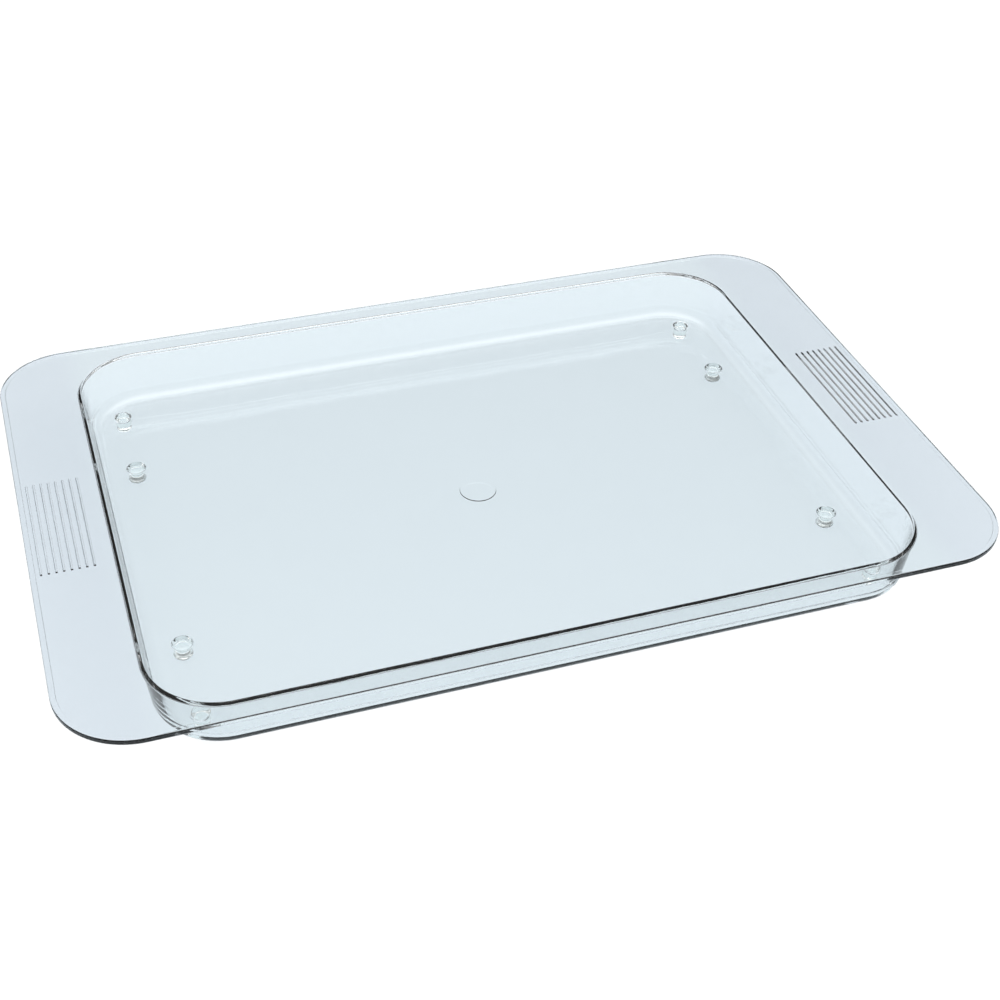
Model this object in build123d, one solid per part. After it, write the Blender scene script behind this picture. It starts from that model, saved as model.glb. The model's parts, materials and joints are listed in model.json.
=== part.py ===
"""Clear injection-moulded propagation tray: a shallow rectangular basin with wide end
flanges, ribbed grips and eight stud feet headed into its floor.

Frame: +Z up, +X along the long side, origin on the table plane under the tray's centre.
All sizes are in millimetres.
"""
from build123d import *
import os
from math import cos, radians, sin

# ---- driving dimensions -------------------------------------------------------------
TRAY_LENGTH = 457.2          # 18 in over the end flanges
TRAY_WIDTH = 303.2           # just under 12 in over the side flanges
TRAY_CORNER = 36.0           # corner radius of the flange outline
FLANGE = 2.4                 # flange plate thickness

RIM_WIDTH = 2.9              # raised bead round the flange edge, flush underneath
RIM_RISE = 0.5               # how far it stands above the plate
RIM_ROUND = 0.8              # rounding of the bead's outer edges

BASIN_LENGTH = 375.2         # mouth of the basin at flange level
BASIN_WIDTH = 279.4
BASIN_CORNER = 34.0          # corner radius of the mouth
BASIN_DEPTH = 26.4           # flange top to floor top
DRAFT_INSIDE = 8.6           # wall lean in degrees, on the basin's side
DRAFT_OUTSIDE = 6.4          # less on the outside, so that the wall thickens toward the floor
WALL = 1.6                   # wall thickness where it meets the flange
FLOOR = 2.6                  # floor thickness
BEND_INSIDE = 6.8            # rounding between wall and floor, inside
BEND_OUTSIDE = 6.4           # the same bend outside
LIP_ROUND = 0.8              # rounding of the mouth's edge

FOOT_REACH = 6.2             # how far the feet stand below the floor's underside
FOOT_X = 167.0               # all feet, from the tray's middle
INNER_FOOT_Y = 70.3
CORNER_FOOT_Y = 118.4

CROWN_RISE = 0.7             # how far every head's rounded crown stands above the floor
CROWN_WIDTH = 1.6            # width of the crown's rounded border
INNER_HEAD_R = 5.2           # countersunk head at the floor's top face
INNER_NECK_R = 3.7           # where the stud leaves the underside
INNER_WAIST_R = 3.2          # thinnest place of the spool-shaped stud
INNER_TIP_R = 4.6
CORNER_HEAD_R = 4.5
CORNER_STEM_R = 3.9
TIP_ROUND = 1.4              # rounding of the foot's bottom edge

PAD_R = 7.2                  # low pad round each corner foot's head
PAD_RISE = 0.3

DISC_R = 9.65                # low disc in the middle of the floor
DISC_RISE = 0.35

RIB_COUNT = 8
RIB_PITCH = 3.5
RIB_WIDTH = 1.7
RIB_LENGTH = 71.0
RIB_RISE = 0.6
RIB_CENTRE_X = 211.0         # middle of each rib patch

# ---- places worked out from them ----------------------------------------------------
FLOOR_BOTTOM = FOOT_REACH
FLOOR_TOP = FLOOR_BOTTOM + FLOOR
FLANGE_TOP = FLOOR_TOP + BASIN_DEPTH
HEAD_TOP = FLOOR_TOP + CROWN_RISE


def slab(length, width, corner, z_low, z_high):
    """A flat plate with rounded corners, centred on the Z axis."""
    outline = Plane.XY.offset(z_low) * RectangleRounded(length, width, corner)
    return extrude(outline, amount=z_high - z_low)


def pan(length, width, corner, z_top, z_bottom, draft, bend):
    """A solid block that narrows downwards at the draft angle, with its bottom edge rounded."""
    mouth = Plane.XY.offset(z_top) * RectangleRounded(length, width, corner)
    block = extrude(mouth, amount=z_top - z_bottom, dir=(0, 0, -1), taper=draft)
    bottom = block.edges().filter_by_position(Axis.Z, z_bottom - 0.01, z_bottom + 0.01)
    return fillet(bottom, bend)


def revolve_profile(points, x, y):
    """A turned piece from (radius, height) points, starting and ending on its axis, at x, y."""
    outline = make_face(Plane.XZ * Polyline(*points, close=True))
    return Pos(x, y, 0) * revolve(outline, Axis.Z)


def flange():
    """The flat plate with a low raised bead along its rounded outer edge."""
    bead_top = FLANGE_TOP + RIM_RISE
    plate = slab(TRAY_LENGTH, TRAY_WIDTH, TRAY_CORNER, FLANGE_TOP - FLANGE, bead_top)
    long_edges = plate.edges().group_by(Axis.Z)
    plate = fillet(long_edges[0] + long_edges[-1], RIM_ROUND)
    return plate - slab(TRAY_LENGTH - 2 * RIM_WIDTH, TRAY_WIDTH - 2 * RIM_WIDTH,
                        TRAY_CORNER - RIM_WIDTH, FLANGE_TOP, bead_top + 1)


def grip_ribs():
    """Two patches of low parallel ribs, one on each end flange."""
    first = -(RIB_COUNT - 1) / 2 * RIB_PITCH
    ribs = []
    for side in (-1, 1):
        for i in range(RIB_COUNT):
            x = side * RIB_CENTRE_X + first + i * RIB_PITCH
            rib = Pos(x, 0, FLANGE_TOP) * Box(RIB_WIDTH, RIB_LENGTH, 2 * RIB_RISE)
            upper = rib.edges().filter_by(Axis.Y).group_by(Axis.Z)[-1]
            ribs.append(chamfer(upper, RIB_RISE * 0.6))
    return ribs


def foot_holes():
    """Countersunk seats through the floor, the exact negatives of the feet's heads."""
    cutters = []
    for sx in (-1, 1):
        for sy in (-1, 1):
            cutters.append(revolve_profile(
                [(0, FLOOR_BOTTOM), (INNER_NECK_R, FLOOR_BOTTOM), (INNER_HEAD_R, FLOOR_TOP),
                 (0, FLOOR_TOP)], sx * FOOT_X, sy * INNER_FOOT_Y))
            cutters.append(revolve_profile(
                [(0, FLOOR_BOTTOM), (CORNER_STEM_R, FLOOR_BOTTOM),
                 (CORNER_HEAD_R, FLOOR_TOP + PAD_RISE), (0, FLOOR_TOP + PAD_RISE)],
                sx * FOOT_X, sy * CORNER_FOOT_Y))
    return cutters


def tray_shell():
    """The one-piece moulding: flange, basin, rim bead, ribs, centre disc and foot seats."""
    basin = pan(BASIN_LENGTH + 2 * WALL, BASIN_WIDTH + 2 * WALL, BASIN_CORNER + WALL,
                FLANGE_TOP, FLOOR_BOTTOM, DRAFT_OUTSIDE, BEND_OUTSIDE)
    cavity = pan(BASIN_LENGTH, BASIN_WIDTH, BASIN_CORNER, FLANGE_TOP, FLOOR_TOP,
                 DRAFT_INSIDE, BEND_INSIDE)
    shell = flange() + basin - cavity

    mouth = [e for e in shell.edges()
             if abs(e.center().Z - FLANGE_TOP) < 0.01
             and abs(e.center().X) < BASIN_LENGTH / 2 + 1
             and abs(e.center().Y) < BASIN_WIDTH / 2 + 1]
    shell = fillet(mouth, LIP_ROUND)

    disc = Pos(0, 0, FLOOR_TOP + DISC_RISE / 2) * Cylinder(DISC_R, DISC_RISE)
    pads = [Pos(sx * FOOT_X, sy * CORNER_FOOT_Y, FLOOR_TOP + PAD_RISE / 2)
            * Cylinder(PAD_R, PAD_RISE) for sx in (-1, 1) for sy in (-1, 1)]
    for extra in [disc, *pads, *grip_ribs()]:
        shell = shell + extra
    for hole in foot_holes():
        shell = shell - hole
    return shell.solids()[0]


def foot(head_r, seat_r, seat_top, side, tip_r):
    """A stud foot standing on the table plane: rounded tip, side line, countersunk head, crown.

    side is the list of (radius, height) points between the tip and the floor's underside.
    """
    turn = [radians(a) for a in range(0, 91, 15)]
    tip = [(tip_r - TIP_ROUND + TIP_ROUND * sin(a), TIP_ROUND - TIP_ROUND * cos(a)) for a in turn]
    crown = [(head_r - CROWN_WIDTH * (1 - cos(a)), seat_top + (HEAD_TOP - seat_top) * sin(a)) for a in turn]
    return [(0, 0), *tip, *side, (seat_r, FLOOR_BOTTOM), *crown, (0, HEAD_TOP)]


def waist():
    """Points of the inner foot's hollow side: a cosine dip between its tip and its neck."""
    low, high = TIP_ROUND + 0.4, FLOOR_BOTTOM
    points = []
    for i in range(7):
        t = i / 7
        ends = INNER_TIP_R + (INNER_NECK_R - INNER_TIP_R) * t
        dip = (INNER_NECK_R + INNER_TIP_R) / 2 - INNER_WAIST_R
        points.append((ends - dip * sin(radians(180 * t)), low + (high - low) * t))
    return points


def feet():
    """Every foot by node name: an inner and a corner stud in each quarter of the floor."""
    inner = foot(INNER_HEAD_R, INNER_NECK_R, FLOOR_TOP, waist(), INNER_TIP_R)
    corner = foot(CORNER_HEAD_R, CORNER_STEM_R, FLOOR_TOP + PAD_RISE, [], CORNER_STEM_R)
    made = {}
    for end, sx in (("left", -1), ("right", 1)):
        for row, sy in (("front", -1), ("back", 1)):
            made[f"inner_foot_{row}_{end}"] = revolve_profile(inner, sx * FOOT_X, sy * INNER_FOOT_Y)
            made[f"corner_foot_{row}_{end}"] = revolve_profile(corner, sx * FOOT_X, sy * CORNER_FOOT_Y)
    return made


os.makedirs("parts", exist_ok=True)
nodes = {"tray_shell": tray_shell(), **feet()}
for name, solid in nodes.items():
    export_step(solid, f"parts/{name}.step")
    size = solid.bounding_box().size
    print(f"{name}: {solid.volume / 1000:.2f} cm3, {size.X:.1f} x {size.Y:.1f} x {size.Z:.1f} mm")
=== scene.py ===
# %% [markdown]
# # A clear propagation tray
# This file builds the looks of a shallow, clear plastic tray around its solid model, one step per
# cell. The solid model says where everything is; each cell here makes one piece or one finish and
# prints what it made, so the file can be read from top to bottom as a lesson in Blender.

# %% Load the frame
import json
import math

import bpy
import numpy as np
from mathutils import Matrix, Vector
from mathutils.geometry import delaunay_2d_cdt


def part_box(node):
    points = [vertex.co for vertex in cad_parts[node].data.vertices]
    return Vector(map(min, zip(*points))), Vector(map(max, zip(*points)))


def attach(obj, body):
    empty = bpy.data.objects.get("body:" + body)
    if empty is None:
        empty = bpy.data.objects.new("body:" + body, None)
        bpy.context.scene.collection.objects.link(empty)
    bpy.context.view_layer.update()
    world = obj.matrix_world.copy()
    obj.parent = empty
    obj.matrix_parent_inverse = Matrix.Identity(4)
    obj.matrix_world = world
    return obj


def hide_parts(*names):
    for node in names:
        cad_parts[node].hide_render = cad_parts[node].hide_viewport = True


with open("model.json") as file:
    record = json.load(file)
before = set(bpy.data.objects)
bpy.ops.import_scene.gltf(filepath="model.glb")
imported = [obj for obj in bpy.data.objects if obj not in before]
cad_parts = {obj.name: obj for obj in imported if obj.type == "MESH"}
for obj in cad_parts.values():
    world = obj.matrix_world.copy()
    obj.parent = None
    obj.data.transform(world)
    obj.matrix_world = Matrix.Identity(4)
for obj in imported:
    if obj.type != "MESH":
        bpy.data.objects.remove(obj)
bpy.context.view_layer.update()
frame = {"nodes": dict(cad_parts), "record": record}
mounts = {m["name"]: m["pos_m"] for m in frame["record"]["mounts"]}
print("pieces of the solid model:", ", ".join(sorted(frame["nodes"])))

# %% [markdown]
# ## Sizes
# The outside sizes and the heights come from the solid model, so the two can't drift apart. What
# the model's box can't tell, such as a corner radius, is a named value. Everything is in
# millimetres, because a moulded tray is drawn in millimetres, and is turned into metres when a
# mesh is made.

# %% Sizes in millimetres
MM = 0.001
shell_low, shell_high = (np.array(corner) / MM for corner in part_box("tray_shell"))
LENGTH, WIDTH = (shell_high - shell_low)[:2]
FLOOR_BOTTOM = shell_low[2]
FLOOR_TOP = mounts["basin_floor"][2] / MM
FLANGE_TOP = mounts["dome_seat"][2] / MM
FLANGE_BOTTOM = mounts["flange_underside"][2] / MM
CORNER = 36.0                                     # flange outline
MOUTH_LENGTH, MOUTH_WIDTH, MOUTH_CORNER = 375.2, 279.4, 34.0
LEAN, OUTER_LEAN = math.radians(8.6), math.radians(6.4)     # wall lean, inside and outside
WALL = 1.6                                        # wall thickness at the flange
BEND_INSIDE, BEND_OUTSIDE = 6.8, 6.4              # rounding between wall and floor
LIP, ARMPIT = 0.8, 1.0                            # rounding at the mouth, and under the flange
BEAD_WIDTH, BEAD_STEP = 2.9, 0.35                 # the step is the width of its inner slope
BEAD_RISE, EDGE_ROUND = 0.5, 0.8                  # height above the flange, rounding outside
print(f"tray {LENGTH:.1f} x {WIDTH:.1f} mm, basin {FLANGE_TOP - FLOOR_TOP:.1f} mm deep")

# %% [markdown]
# ## Outlines and profiles
# Every curved part of the moulding is one profile carried round a rounded rectangle, the way a
# plane iron is carried round a picture frame. A rounded rectangle is stored as anchors and
# directions: a point of the outline inset by s is its anchor plus (radius - s) times its direction.
# So a whole swept surface is one line of array arithmetic, and rings at any inset match point for
# point. A circle is the same thing with all its anchors at one place.


# %% Outlines, arcs and steps
SIDE_STEP = 16.0                    # about the distance between the points of a straight side
HOLD, FINE_HOLD = 0.35, 0.2         # distance of a held ring from a bend, and on narrow faces
SAME_PLACE = 1e-9                   # two profile points closer than this are one


class Outline:
    """A rounded rectangle, anticlockwise: half sizes, corner radius and centre, in millimetres."""

    def __init__(self, half_x, half_y, radius, centre=(0.0, 0.0), corner_steps=24):
        signs = np.array([(1, 1), (-1, 1), (-1, -1), (1, -1)], float)
        corners = signs * (half_x - radius, half_y - radius)
        anchors, angles = [], []
        for quarter in range(4):
            turn = np.linspace(0, math.pi / 2, corner_steps + 1) + quarter * math.pi / 2
            anchors.append(np.repeat(corners[[quarter]], len(turn), 0))
            angles.append(turn)
            run = corners[(quarter + 1) % 4] - corners[quarter]
            count = int(np.hypot(*run) // SIDE_STEP)
            share = (np.arange(1, count + 1) / (count + 1))[:, None]
            anchors.append(corners[quarter] + share * run)
            angles.append(np.full(count, turn[-1]))
        angles = np.concatenate(angles)
        self.anchors = np.concatenate(anchors) + centre
        self.directions = np.column_stack([np.cos(angles), np.sin(angles)])
        keep = np.ones(len(angles), bool)
        if half_x == radius == half_y:            # a circle: quarter ends coincide
            keep[corner_steps::corner_steps + 1] = False
        self.anchors, self.directions = self.anchors[keep], self.directions[keep]
        self.radius = np.full(len(self.anchors), float(radius))

    def keep_within(self, centre, reach):
        """Shortens the radii that would leave a circle, so that the outline is flattened there.

        From a place p inside it, the circle is at t = sqrt((p.d)^2 - p.p + reach^2) - p.d along d.
        """
        place = self.anchors - centre
        along = (place * self.directions).sum(1)
        limit = np.sqrt(along ** 2 - (place ** 2).sum(1) + reach ** 2) - along
        self.radius = np.minimum(self.radius, limit)

    def ring(self, inset):
        """The outline moved inwards by inset: anchor + (radius - inset) * direction."""
        return self.anchors + (self.radius - inset)[:, None] * self.directions

    def sweep(self, profile):
        """A profile of (inset, height) rows carried round: point[i, k] = ring k at inset i."""
        inset, height = np.asarray(profile, float).T
        return self.rings(self.radius - inset[:, None], height)

    def taper(self, radius, profile):
        """A sweep whose insets are shares: 0 is this outline, 1 is the given radius all round."""
        share, height = np.asarray(profile, float).T
        return self.rings(self.radius + share[:, None] * (radius - self.radius), height)

    def rings(self, radii, height):
        """One ring for each row of radii, at its height: anchor + radius * direction."""
        flat = self.anchors + radii[..., None] * self.directions
        tall = np.broadcast_to(height[:, None, None], (*flat.shape[:2], 1))
        return np.concatenate([flat, tall], 2)


def circle(radius, centre, steps=12):
    """A round outline: all four corners of the rounded rectangle share one anchor."""
    return Outline(radius, radius, radius, centre, corner_steps=steps)


def arc(centre, radius, start, end, steps=12):
    """Points centre + radius * (cos a, sin a), for a from start to end."""
    a = np.linspace(start, end, steps + 1)[:, None]
    return np.array(centre) + radius * np.hstack([np.cos(a), np.sin(a)])


def step(inset_from, inset_to, height_from, height_to, steps=8):
    """A soft step: the height goes over by (1 - cos(pi t)) / 2 while the inset goes evenly."""
    t = np.linspace(0, 1, steps + 1)
    rise = (1 - np.cos(math.pi * t)) / 2
    return np.column_stack([inset_from + (inset_to - inset_from) * t,
                            height_from + (height_to - height_from) * rise])


def chain(*runs, hold=HOLD):
    """Joins runs of profile points, with a point held close to each end of a long straight gap.

    Without it, smooth shading would spread a bend's slope over the flat face next to it.
    """
    out = [np.asarray(runs[0], float)]
    for run in runs[1:]:
        run = np.asarray(run, float)
        a, b = out[-1][-1], run[0]
        gap = np.linalg.norm(b - a)
        if gap > 3 * hold:
            out.append(np.array([a + (b - a) * hold / gap, b - (b - a) * hold / gap]))
        out.append(run[int(gap < SAME_PLACE):])
    return np.concatenate(out)


print("an outline of 40 x 20 mm has", len(Outline(20, 10, 4).anchors), "points")
print("a circle has", len(circle(5, (0, 0)).anchors), "points")

# %% [markdown]
# ## Flat faces with holes
# The floor and the flange are flat, with holes, ribs and discs let into them. A flat face needs no
# grid: a constrained Delaunay triangulation joins the rings that border it, and triangles that fall
# in a hole or outside are thrown away. A Builder collects swept grids and flat faces, welds points
# that coincide, and counts open edges: in a closed mesh every edge is walked once each way.


# %% Builder: grids and flat faces to one closed mesh
NEAREST = 1e-7                      # how close two points may be in the triangulation
WELD_DIGITS = 4                     # points that agree to this many digits of a millimetre are one


def inside(points, loop):
    """True for each point that is inside a closed loop.

    A ray to the right of a point inside crosses the loop an odd number of times.
    """
    a, b = loop, np.roll(loop, -1, 0)
    x, y = points[:, :1], points[:, 1:]
    spans = (a[:, 1] > y) != (b[:, 1] > y)
    rise = np.where(b[:, 1] == a[:, 1], 1.0, b[:, 1] - a[:, 1])
    crossing = a[:, 0] + (y - a[:, 1]) * (b[:, 0] - a[:, 0]) / rise
    return (spans & (x < crossing)).sum(1) % 2 == 1


class Builder:
    """Collects triangles in millimetres, and makes one welded mesh in metres."""

    def __init__(self):
        self.points, self.tris, self.count = [], [], 0

    def add(self, points, tris):
        self.points.append(points)
        self.tris.append(tris + self.count)
        self.count += len(points)

    def grid(self, surface, flip=False):
        """A surface[i, k] closed along k: two triangles for each cell."""
        rows, columns = surface.shape[:2]
        i, k = np.meshgrid(np.arange(rows - 1), np.arange(columns), indexing="ij")
        after = (k + 1) % columns
        a, b = i * columns + k, i * columns + after
        c, d = (i + 1) * columns + after, (i + 1) * columns + k
        tris = np.concatenate([np.stack([a, b, c], -1), np.stack([a, c, d], -1)]).reshape(-1, 3)
        self.add(surface.reshape(-1, 3), tris[:, ::-1] if flip else tris)

    def flat(self, outer, holes, height, up=True):
        """A level face between the outer loop and the holes, facing up or down."""
        loops = [outer, *holes]
        flat = np.concatenate(loops)
        starts = np.cumsum([0] + [len(loop) for loop in loops])
        edges = []
        for start, loop in zip(starts, loops):
            walk = np.arange(len(loop))
            edges += np.column_stack([start + walk, start + np.roll(walk, -1)]).tolist()
        places = [Vector(p) for p in flat]
        _, _, faces, sources, _, _ = delaunay_2d_cdt(places, edges, [], 0, NEAREST)
        origin = np.array([links[0] for links in sources])
        tris = origin[np.array(faces)]
        middle = flat[tris].mean(1)
        keep = inside(middle, outer)
        for hole in holes:
            keep &= ~inside(middle, hole)
        tris = tris[keep]
        a, b, c = (flat[tris[:, j]] for j in range(3))
        turn = (b - a)[:, 0] * (c - a)[:, 1] - (b - a)[:, 1] * (c - a)[:, 0]
        tris = np.where(((turn > 0) == up)[:, None], tris, tris[:, ::-1])
        self.add(np.column_stack([flat, np.full(len(flat), height)]), tris)

    def mesh(self, name):
        """Welds, drops empty triangles, checks the edges and returns a smooth-shaded object."""
        points, tris = np.concatenate(self.points), np.concatenate(self.tris)
        keys, which = np.unique(np.round(points, WELD_DIGITS) + 0.0, axis=0, return_inverse=True)
        tris = which.reshape(-1)[tris]
        tris = tris[(tris != np.roll(tris, 1, 1)).all(1)]
        walked = np.concatenate([tris[:, [0, 1]], tris[:, [1, 2]], tris[:, [2, 0]]])
        code = walked[:, 0] * len(keys) + walked[:, 1]
        back = walked[:, 1] * len(keys) + walked[:, 0]
        loose = int((~np.isin(code, back)).sum()) + len(code) - len(np.unique(code))
        a, b, c = (keys[tris[:, j]] for j in range(3))
        volume = float(np.einsum("ij,ij->", a, np.cross(b, c))) / 6
        data = bpy.data.meshes.new(name)
        data.from_pydata((keys * MM).tolist(), [], tris.tolist())
        data.shade_smooth()
        data.validate()
        piece = bpy.data.objects.new(name, data)
        bpy.context.scene.collection.objects.link(piece)
        print(f"{name}: {len(tris)} triangles, {volume / 1000:.2f} cm3, {loose} open edges")
        return piece

# %% [markdown]
# ## The tray moulding
# The real tray comes out of its mould as one piece: a basin, a flat flange all round that is wide
# at the two ends for the hands, a rounded bead along the edge that stiffens it, and ribs that stop
# a wet hand from slipping. The wall leans out more on the inside than on the outside, so it is thin
# at the flange and thickens toward the floor, as a wall that must let go of two mould halves does.

# %% Outlines of the mouth and of the edge
mouth = Outline(MOUTH_LENGTH / 2, MOUTH_WIDTH / 2, MOUTH_CORNER)
edge = Outline(LENGTH / 2, WIDTH / 2, CORNER)


def corner_arc(distance, height, radius, start, end, steps, lean=LEAN, wall=0.0):
    """An arc of the profile about the point at that distance from a wall face and that height.

    The face leans by lean and starts wall outside the mouth, so the arc's centre is at an inset of
    (distance + depth * sin(lean)) / cos(lean) - wall.
    """
    inset = (distance + (FLANGE_TOP - height) * math.sin(lean)) / math.cos(lean) - wall
    return arc((inset, height), radius, start, end, steps)


QUARTER = math.pi / 2
lip = corner_arc(-LIP, FLANGE_TOP - LIP, LIP, QUARTER, LEAN, 12)
bend_in = corner_arc(BEND_INSIDE, FLOOR_TOP + BEND_INSIDE, BEND_INSIDE,
                     math.pi + LEAN, 3 * QUARTER, 20)
bend_out = corner_arc(BEND_OUTSIDE, FLOOR_BOTTOM + BEND_OUTSIDE, BEND_OUTSIDE,
                      math.pi + OUTER_LEAN, 3 * QUARTER, 20, OUTER_LEAN, WALL)
armpit = corner_arc(-ARMPIT, FLANGE_BOTTOM - ARMPIT, ARMPIT,
                    QUARTER, OUTER_LEAN, 10, OUTER_LEAN, WALL)
flange_start, floor_start = lip[0] - (HOLD, 0), bend_in[-1] + (HOLD, 0)
inner_profile = chain([flange_start], lip, bend_in, [floor_start])
outer_profile = chain([armpit[0] - (HOLD, 0)], armpit, bend_out, [bend_out[-1] + (HOLD, 0)])
print(f"inner profile {len(inner_profile)} points, outer profile {len(outer_profile)} points")

# %% Profile of the edge bead, from the flange's top face round to its underside
bead_top = FLANGE_TOP + BEAD_RISE
inner_step = step(BEAD_WIDTH, BEAD_WIDTH - BEAD_STEP, FLANGE_TOP, bead_top)
bead_profile = chain(
    [inner_step[0] + (HOLD, 0)], inner_step,
    arc((EDGE_ROUND, bead_top - EDGE_ROUND), EDGE_ROUND, QUARTER, 2 * QUARTER, 10),
    arc((EDGE_ROUND, FLANGE_BOTTOM + EDGE_ROUND), EDGE_ROUND, 2 * QUARTER, 3 * QUARTER, 10),
    [(EDGE_ROUND + HOLD, FLANGE_BOTTOM)], hold=FINE_HOLD)
print(f"bead profile {len(bead_profile)} points, {bead_top - FLANGE_BOTTOM:.2f} mm high")

# %% [markdown]
# ## What is let into the flat faces
# Eight ribs stand on each end flange; each is a stadium outline whose height follows a cosine from
# its edge to its crest. A low disc marks where the plastic entered the mould. Each stud sits in a
# conical seat through the floor, and the corner seats have a low round pad of their own.
# Smooth shading averages the slopes that meet at a point, so a step would tilt the whole broad face
# beside it. A ring held flat close to each step keeps the tilt inside a third of a millimetre.

# %% Ribs, disc, pads and seats
RIB_COUNT, RIB_PITCH, RIB_MIDDLE = 8, 3.5, 211.0          # the middle is that of each patch
RIB_HALF_WIDTH, RIB_HALF_LENGTH, RIB_RISE = 0.85, 35.5, 0.6
DISC_RADIUS, DISC_RISE, DISC_STEP = 9.65, 0.35, 0.35      # the step is the width of its slope
PAD_RADIUS, PAD_RISE = 7.2, 0.3
SEAT_GAP, SEAT_EDGE = 0.07, 0.3                           # air round a head, rounding of a seat

rib_places = [(side * RIB_MIDDLE + (i - (RIB_COUNT - 1) / 2) * RIB_PITCH, 0.0)
              for side in (-1, 1) for i in range(RIB_COUNT)]
ribs = [Outline(RIB_HALF_WIDTH, RIB_HALF_LENGTH, RIB_HALF_WIDTH, place, corner_steps=6)
        for place in rib_places]
rib_profile = chain([(-HOLD, FLANGE_TOP)],
                    step(0, RIB_HALF_WIDTH, FLANGE_TOP, FLANGE_TOP + RIB_RISE, steps=10))


class Stud:
    """A stud foot's place, its head and neck radii, and the height of the face it is let into."""

    def __init__(self, node, head, neck, face):
        low, high = (np.array(corner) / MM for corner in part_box(node))
        self.node, self.head, self.neck, self.face = node, head, neck, face
        self.place = (low + high)[:2] / 2

    def seat(self):
        """The tray's side of the joint: a cone with both its edges rounded off."""
        slope = math.atan2(self.head - self.neck, self.face - FLOOR_BOTTOM)
        top, low = self.face - SEAT_EDGE, FLOOR_BOTTOM + SEAT_EDGE
        near = self.neck + (top - FLOOR_BOTTOM) * math.tan(slope)
        far = self.neck + (low - FLOOR_BOTTOM) * math.tan(slope)
        upper = arc((-near - SEAT_EDGE, top), SEAT_EDGE, QUARTER, 0, 6)
        lower = arc((-far - SEAT_EDGE, low), SEAT_EDGE, 0, -QUARTER, 6)
        return chain([upper[0] - (HOLD, 0)], upper, lower, [lower[-1] - (HOLD, 0)],
                     hold=FINE_HOLD)


INNER_HEAD, INNER_NECK, CORNER_HEAD, CORNER_NECK = 5.2, 3.7, 4.5, 3.9     # radii
studs = []
for node in sorted(frame["nodes"]):
    if node.startswith("inner_foot"):
        studs.append(Stud(node, INNER_HEAD, INNER_NECK, FLOOR_TOP))
    elif node.startswith("corner_foot"):
        studs.append(Stud(node, CORNER_HEAD, CORNER_NECK, FLOOR_TOP + PAD_RISE))
print(len(ribs), "ribs and", len(studs), "studs")

# %% Build the moulding
tray = Builder()
tray.grid(mouth.sweep(inner_profile))
tray.grid(mouth.sweep(outer_profile), flip=True)
tray.grid(edge.sweep(bead_profile), flip=True)

for rib in ribs:
    tray.grid(rib.sweep(rib_profile))
flange_holes = [mouth.ring(inner_profile[0, 0]), *[rib.ring(-HOLD) for rib in ribs]]
tray.flat(edge.ring(bead_profile[0, 0]), flange_holes, FLANGE_TOP)
tray.flat(edge.ring(bead_profile[-1, 0]), [mouth.ring(outer_profile[0, 0])], FLANGE_BOTTOM,
          up=False)

disc = circle(DISC_RADIUS, (0, 0), 16)
disc_top = FLOOR_TOP + DISC_RISE
disc_profile = chain([(-HOLD, FLOOR_TOP)], step(0, DISC_STEP, FLOOR_TOP, disc_top),
                     [(DISC_STEP + HOLD, disc_top)])
tray.grid(disc.sweep(disc_profile))
tray.flat(disc.ring(DISC_STEP + HOLD), [], disc_top)

bend_anchor = (MOUTH_LENGTH / 2 - MOUTH_CORNER, MOUTH_WIDTH / 2 - MOUTH_CORNER)
floor_holes, under_holes = [disc.ring(-HOLD)], []
for stud in studs:
    seat = circle(0.0, stud.place)
    profile = stud.seat()
    tray.grid(seat.sweep(profile))
    under_holes.append(seat.ring(profile[-1, 0]))
    if stud.face > FLOOR_TOP:
        pad = circle(PAD_RADIUS, stud.place)
        pad.keep_within(np.sign(stud.place) * bend_anchor,
                        MOUTH_CORNER - inner_profile[-1, 0] - HOLD)
        tray.grid(pad.taper(-profile[0, 0], step(0, 1, FLOOR_TOP, stud.face)))
        floor_holes.append(pad.ring(0))
    else:
        floor_holes.append(seat.ring(profile[0, 0]))
tray.flat(mouth.ring(inner_profile[-1, 0]), floor_holes, FLOOR_TOP)
tray.flat(mouth.ring(outer_profile[-1, 0]), under_holes, FLOOR_BOTTOM, up=False)
moulding = tray.mesh("tray_moulding")

# %% [markdown]
# ## The stud feet
# Each foot is a turned clear stud in a conical seat, with a low rounded crown above the floor and a
# rounded tip on the table. A turned shape is a profile carried round a circle; both its ends close
# in a point on the axis. The head stays a hair clear of its seat, because two clear solids that
# share a face look like one lump, and it is that thin film of air that makes the head show as a
# ring.

# %% Stud profiles and studs
TIP_ROUND, CROWN_WIDTH, CROWN_TOP = 1.4, 1.6, FLOOR_TOP + 0.7
INNER_WAIST, INNER_TIP, CORNER_STEM = 3.2, 4.6, 3.9       # radii
COLLAR = 0.2                        # half height of the straight collar at the neck
TIP_FLAT, CROWN_FLAT = 0.5, 0.35    # shares of the radius at which the flat ends get a ring
STUD_HOLD = 0.15                    # as HOLD, for the studs' small faces


def cone_edge(stud, height):
    """Radius of the stud's conical head at a height: it goes evenly from neck to head radius."""
    share = (height - FLOOR_BOTTOM) / (stud.face - FLOOR_BOTTOM)
    return stud.neck + (stud.head - stud.neck) * share - SEAT_GAP


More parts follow.
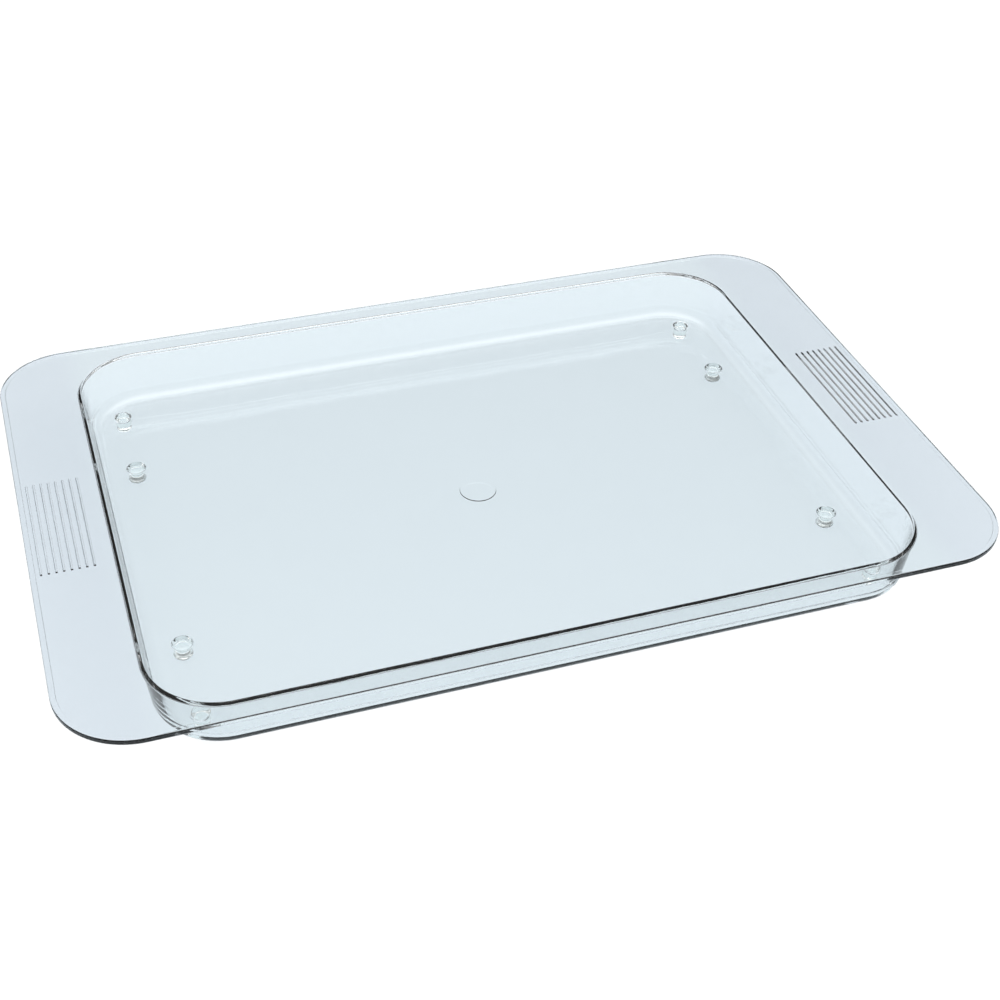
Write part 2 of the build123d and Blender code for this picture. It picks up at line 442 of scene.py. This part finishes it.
def stud_profile(stud, foot_radius, waist):
    """Radius and height rows, from the tip's centre up the side to the head's centre."""
    tip = arc((foot_radius - TIP_ROUND, TIP_ROUND), TIP_ROUND, -QUARTER, 0, 10)
    neck = cone_edge(stud, FLOOR_BOTTOM)
    head = cone_edge(stud, stud.face)
    a = np.linspace(0, QUARTER, 11)
    crown = np.column_stack([head - CROWN_WIDTH * (1 - np.cos(a)),
                             stud.face + (CROWN_TOP - stud.face) * np.sin(a)])
    t = np.linspace(0, 1, 17)[1:]
    height = TIP_ROUND + t * (FLOOR_BOTTOM - COLLAR - TIP_ROUND)
    side = foot_radius + (neck - foot_radius) * t - waist * np.sin(math.pi * t)
    stem = np.column_stack([side, height])
    return chain([(0.0, 0.0), (TIP_FLAT * (foot_radius - TIP_ROUND), 0.0)], tip, stem,
                 [(neck, FLOOR_BOTTOM + COLLAR)], crown,
                 [(CROWN_FLAT * head, CROWN_TOP), (0.0, CROWN_TOP)], hold=STUD_HOLD)


def turned_stud(stud):
    """The stud as a swept grid: a circle of no radius, with the profile's radii as outsets."""
    inner = stud.node.startswith("inner")
    foot_radius = INNER_TIP if inner else CORNER_STEM
    waist = (INNER_TIP + INNER_NECK) / 2 - INNER_WAIST if inner else 0.0
    profile = stud_profile(stud, foot_radius, waist)
    profile[:, 0] *= -1
    builder = Builder()
    builder.grid(circle(0.0, stud.place, 14).sweep(profile))
    return builder.mesh(stud.node.replace("foot", "stud"))


pieces = {stud.node: turned_stud(stud) for stud in studs}
pieces["tray_shell"] = moulding
print(len(pieces), "pieces stand for", len(frame["nodes"]), "solids")

# %% [markdown]
# ## Shader helpers
# A material is a small graph of nodes. A Value wraps one output socket and turns Python arithmetic
# into Math nodes, so that a formula reads as a formula. Graph.node makes every other node: settings
# first, then inputs, by name or number.


# %% Shader helpers
class Value:
    """One socket of a material graph; + and * on it add Math nodes."""

    def __init__(self, graph, socket):
        self.graph, self.socket = graph, socket

    def _math(self, operation, a, b):
        return self.graph.node("ShaderNodeMath", {"operation": operation}, {0: a, 1: b})

    def __add__(self, other):
        return self._math("ADD", self, other)

    def __mul__(self, other):
        return self._math("MULTIPLY", self, other)

    __radd__, __rmul__ = __add__, __mul__


class Graph:
    """The node graph of one new material."""

    def __init__(self, name):
        self.material = bpy.data.materials.new(name)
        self.material.use_nodes = True
        self.tree = self.material.node_tree
        self.tree.nodes.clear()

    def node(self, kind, settings=None, inputs=None, output=0):
        """Adds a node, applies its settings, fills its sockets and returns one output."""
        made = self.tree.nodes.new(kind)
        for key, value in (settings or {}).items():
            setattr(made, key, value)
        for key, value in (inputs or {}).items():
            if isinstance(value, Value):
                self.tree.links.new(value.socket, made.inputs[key])
            else:
                made.inputs[key].default_value = value
        return Value(self, made.outputs[output] if len(made.outputs) else None)

    def noise(self, where, scale, detail=2.0, roughness=0.5):
        """Smooth noise between 0 and 1."""
        return self.node("ShaderNodeTexNoise", {}, {
            "Vector": where, "Scale": scale, "Detail": detail, "Roughness": roughness
        }, output="Fac")

# %% [markdown]
# ## Clear moulded plastic
# The real tray is clear, with a faint cool tint that shows where light has travelled a long way
# inside it: down the walls and along the bead. So that tint isn't paint: it is the colour that
# light takes each time it crosses a surface. In the flange beyond the basin's ends the tint is
# painted a little darker and more lavender; that is painted shade, for the shade seen through the
# end flanges.
# The moulded faces aren't optically flat either. They have a very long, very low waviness
# from cooling, and a finer ripple along the way the plastic flowed, which bends what is seen
# through them by a hair.
# A path tracer finds it hard to send light through two clear surfaces to the floor, so shadow rays
# and diffuse rays see the piece as plain thin tinted glass instead.


# %% Clear plastic
REFRACTION = 1.5                              # a usual value for clear plastic
SWELL_SCALE, GRAIN_SCALE = 22.0, 900.0        # noise cells to a metre
FLOW_SCALE = (60.0, 14.0, 60.0)               # the ripple is drawn out across the tray
FLOW_HEIGHT, GRAIN_HEIGHT = 0.25, 0.004       # against a swell of 1
ROUGH_LEAST, ROUGH_VARIES = 0.004, 0.012
END_FROM, END_TO = 0.178, 0.198               # metres from the middle, where the painted shade of the ends comes in


def clear_plastic(name, tint, end_painted_shade, shade, wave_height):
    """Tinted clear plastic, with painted shade at the ends as a darker tint; height = swells + flow
    + grain.
    """
    graph = Graph(name)
    where = graph.node("ShaderNodeTexCoord", output="Object")
    swells = graph.noise(where, SWELL_SCALE, detail=1.0)
    stretched = graph.node("ShaderNodeMapping", {}, {"Vector": where, "Scale": FLOW_SCALE})
    flow = graph.noise(stretched, 1.0, detail=3.0, roughness=0.6)
    grain = graph.noise(where, GRAIN_SCALE)
    waves = swells + flow * FLOW_HEIGHT + grain * GRAIN_HEIGHT
    bump = graph.node("ShaderNodeBump", {}, {
        "Height": waves, "Strength": 1.0, "Distance": wave_height})
    rough = flow * ROUGH_VARIES + grain * ROUGH_VARIES + ROUGH_LEAST
    # Mask of the painted shade: 0 in the middle, rising to 1 at the ends by distance from the
    # middle.
    along = graph.node("ShaderNodeSeparateXYZ", {}, {0: where})
    from_middle = graph.node("ShaderNodeMath", {"operation": "ABSOLUTE"}, {0: along})
    painted_shade_mask = graph.node("ShaderNodeMapRange", {"interpolation_type": "SMOOTHSTEP"},
                        {"Value": from_middle, "From Min": END_FROM, "From Max": END_TO})
    # Painted shade: beyond the basin's ends the tint turns darker and more lavender, standing for
    # the shade seen through the end flanges.
    colour = graph.node("ShaderNodeMix", {"data_type": "RGBA"},
                        {0: painted_shade_mask, 6: tint, 7: end_painted_shade}, output=2)
    glass = graph.node("ShaderNodeBsdfPrincipled", {}, {
        "Base Color": colour, "Roughness": rough, "IOR": REFRACTION,
        "Transmission Weight": 1.0, "Normal": bump})
    thin = graph.node("ShaderNodeBsdfTransparent", {}, {"Color": shade})
    shadow = graph.node("ShaderNodeLightPath", output="Is Shadow Ray")
    diffuse = graph.node("ShaderNodeLightPath", output="Is Diffuse Ray")
    either = graph.node("ShaderNodeMath", {"operation": "MAXIMUM"}, {0: shadow, 1: diffuse})
    mixed = graph.node("ShaderNodeMixShader", {}, {0: either, 1: glass, 2: thin})
    graph.node("ShaderNodeOutputMaterial", {}, {"Surface": mixed})
    print(f"{name}: {len(graph.tree.nodes)} nodes")
    return graph.material


FLOOR_TINT = (0.95, 0.965, 0.968, 1.0)
# Painted shade: the ends' darker, more lavender tint stands for the shade seen through the end
# flanges.
END_PAINTED_SHADE = (0.91, 0.915, 0.937, 1.0)
STUD_TINT = (0.92, 0.96, 0.95, 1.0)
THIN_SHADE = (0.965, 0.97, 0.973, 1.0)
SHELL_WAVE, STUD_WAVE = 0.0002, 0.00005       # wave heights in metres
shell_plastic = clear_plastic("clear_shell_plastic", FLOOR_TINT, END_PAINTED_SHADE, THIN_SHADE, SHELL_WAVE)
stud_plastic = clear_plastic("clear_stud_plastic", STUD_TINT, STUD_TINT, THIN_SHADE, STUD_WAVE)

# %% [markdown]
# ## Hand the pieces over
# Every piece of the solid model is replaced by its finished mesh. Nothing moves on a tray, so all
# pieces ride on the one body.

# %% Ride, replace, slot
for node, piece in pieces.items():
    shell = node == "tray_shell"
    piece.data.materials.append(shell_plastic if shell else stud_plastic)
    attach(piece, "root")
    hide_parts(node)
print("replaced:", ", ".join(sorted(pieces)))

# %% [markdown]
# ## Floor, light and camera
# A clear object has almost no colour of its own: what it shows is the room, bent. It stands on
# white paper in a bright studio. The ceiling is a wide soft light, less bright toward the far side,
# and the walls fall away to grey.
# Two things here don't happen in a real studio. The paper is white to the camera and pale blue-grey
# to every other ray, so it looks cooler and darker through the plastic than beside it. And light
# that is trapped in the plastic is given up after a set number of bounces, which draws the dark
# lines along the edges; with many more bounces they would turn pale. The paper also lets rays
# through from below, so that the underside of the tray can be looked at.

# %% White floor
FLOOR_SIZE, FLOOR_DROP = 6.0, 0.0002          # metres; the drop is below the studs' tips
FLOOR_LEVEL = 1.10                            # how bright the bare paper comes out
PAPER = 0.93                                  # its white, to the camera
PAPER_CAST = (0.725, 0.80, 0.845, 1)          # its colour to every other ray
corners = np.array([(-1, -1, 0), (1, -1, 0), (1, 1, 0), (-1, 1, 0)]) * (FLOOR_SIZE / 2)
corners[:, 2] = -FLOOR_DROP
floor_mesh = bpy.data.meshes.new("white_floor")
floor_mesh.from_pydata(corners.tolist(), [], [(0, 1, 2, 3)])
floor = bpy.data.objects.new("white_floor", floor_mesh)
bpy.context.scene.collection.objects.link(floor)
paper = Graph("white_paper")
direct = paper.node("ShaderNodeLightPath", output="Is Camera Ray")
cast = paper.node("ShaderNodeMix", {"data_type": "RGBA"},
                  {0: direct, 6: PAPER_CAST, 7: (PAPER, PAPER, PAPER, 1)}, output=2)
matt = paper.node("ShaderNodeBsdfPrincipled", {}, {
    "Base Color": cast, "Roughness": 0.9, "Specular IOR Level": 0.0})
below = paper.node("ShaderNodeNewGeometry", output="Backfacing")
nothing = paper.node("ShaderNodeBsdfTransparent")
seen = paper.node("ShaderNodeMixShader", {}, {0: below, 1: matt, 2: nothing})
paper.node("ShaderNodeOutputMaterial", {}, {"Surface": seen})
floor_mesh.materials.append(paper.material)
print(f"floor {FLOOR_SIZE} m square")

# %% Studio: the room that the plastic reflects
SKY_STOPS = [(0.0, 0.06), (0.40, 0.14), (0.62, 0.45), (0.85, 1.3), (1.0, 1.5)]     # height, level
FAR_RANGE, FAR_LEVELS = (0.35, 0.65), (1.0, 0.4)     # how far a direction points to +Y, level
HEIGHT_STEPS, TURN_STEPS = 400, 360                  # directions that are averaged below
world = bpy.data.worlds.new("studio")
world.use_nodes = True
bpy.context.scene.world = world
tree = world.node_tree
tree.nodes.clear()
coords = tree.nodes.new("ShaderNodeTexCoord")
split = tree.nodes.new("ShaderNodeSeparateXYZ")
ramp = tree.nodes.new("ShaderNodeValToRGB")
sky = tree.nodes.new("ShaderNodeBackground")
out = tree.nodes.new("ShaderNodeOutputWorld")
while len(ramp.color_ramp.elements) < len(SKY_STOPS):
    ramp.color_ramp.elements.new(0.5)
for element, (place, level) in zip(ramp.color_ramp.elements, SKY_STOPS):
    element.position = place
    element.color = (level, level, level, 1)
tree.links.new(coords.outputs["Generated"], split.inputs[0])
tree.links.new(split.outputs["Z"], ramp.inputs["Fac"])
tree.links.new(ramp.outputs["Color"], sky.inputs["Color"])
# The light that falls on the paper is the mean of all directions above it, weighted by twice their
# height, so the strength that gives a wanted floor level can be worked out.
heights, turns = np.meshgrid((np.arange(HEIGHT_STEPS) + 0.5) / HEIGHT_STEPS,
                             np.linspace(0, 2 * math.pi, TURN_STEPS + 1)[:-1])
far = np.sqrt(1 - heights ** 2) * np.cos(turns)
levels = np.interp(heights, *zip(*SKY_STOPS)) * np.interp(far, FAR_RANGE, FAR_LEVELS)
strength = FLOOR_LEVEL / (PAPER * float((levels * 2 * heights).mean()))
fall = tree.nodes.new("ShaderNodeMapRange")
for end, value in zip(("From Min", "From Max", "To Min", "To Max"),
                      (*FAR_RANGE, *(level * strength for level in FAR_LEVELS))):
    fall.inputs[end].default_value = value
tree.links.new(split.outputs["Y"], fall.inputs["Value"])
tree.links.new(fall.outputs["Result"], sky.inputs["Strength"])
tree.links.new(sky.outputs["Background"], out.inputs["Surface"])
print(f"sky strength {strength:.2f} lights the paper to {FLOOR_LEVEL}")


# %% Camera and view
def look(name, azimuth, elevation, roll, distance, target, lens):
    """A camera on a ball around the target, turned to face it, then rolled in its own plane."""
    level = math.cos(elevation)
    back = Vector((math.sin(azimuth) * level, -math.cos(azimuth) * level, math.sin(elevation)))
    right = Vector((math.cos(azimuth), math.sin(azimuth), 0))
    turn = Matrix((right, back.cross(right), back)).transposed().to_4x4()
    data = bpy.data.cameras.new(name)
    data.lens, data.sensor_width, data.clip_start, data.clip_end = lens, 36.0, 0.01, 50.0
    camera = bpy.data.objects.new(name, data)
    place = Matrix.Translation(Vector(target) + back * distance)
    camera.matrix_world = place @ turn @ Matrix.Rotation(roll, 4, "Z")
    bpy.context.scene.collection.objects.link(camera)
    return camera


camera = look("camera", azimuth=math.radians(-19.609), elevation=math.radians(38.215),
              roll=math.radians(1.708), distance=0.82866, target=(0.0057, -0.0188, 0.0151),
              lens=58.12)
BOUNCES, GLOSSY_BOUNCES, CLEAR_BOUNCES = 24, 8, 16
scene = bpy.context.scene
scene.camera = camera
scene.view_settings.view_transform = "Standard"
scene.cycles.max_bounces = BOUNCES
scene.cycles.transmission_bounces = BOUNCES
scene.cycles.glossy_bounces = GLOSSY_BOUNCES
scene.cycles.transparent_max_bounces = CLEAR_BOUNCES
print("camera at", [round(x, 4) for x in camera.matrix_world.translation])
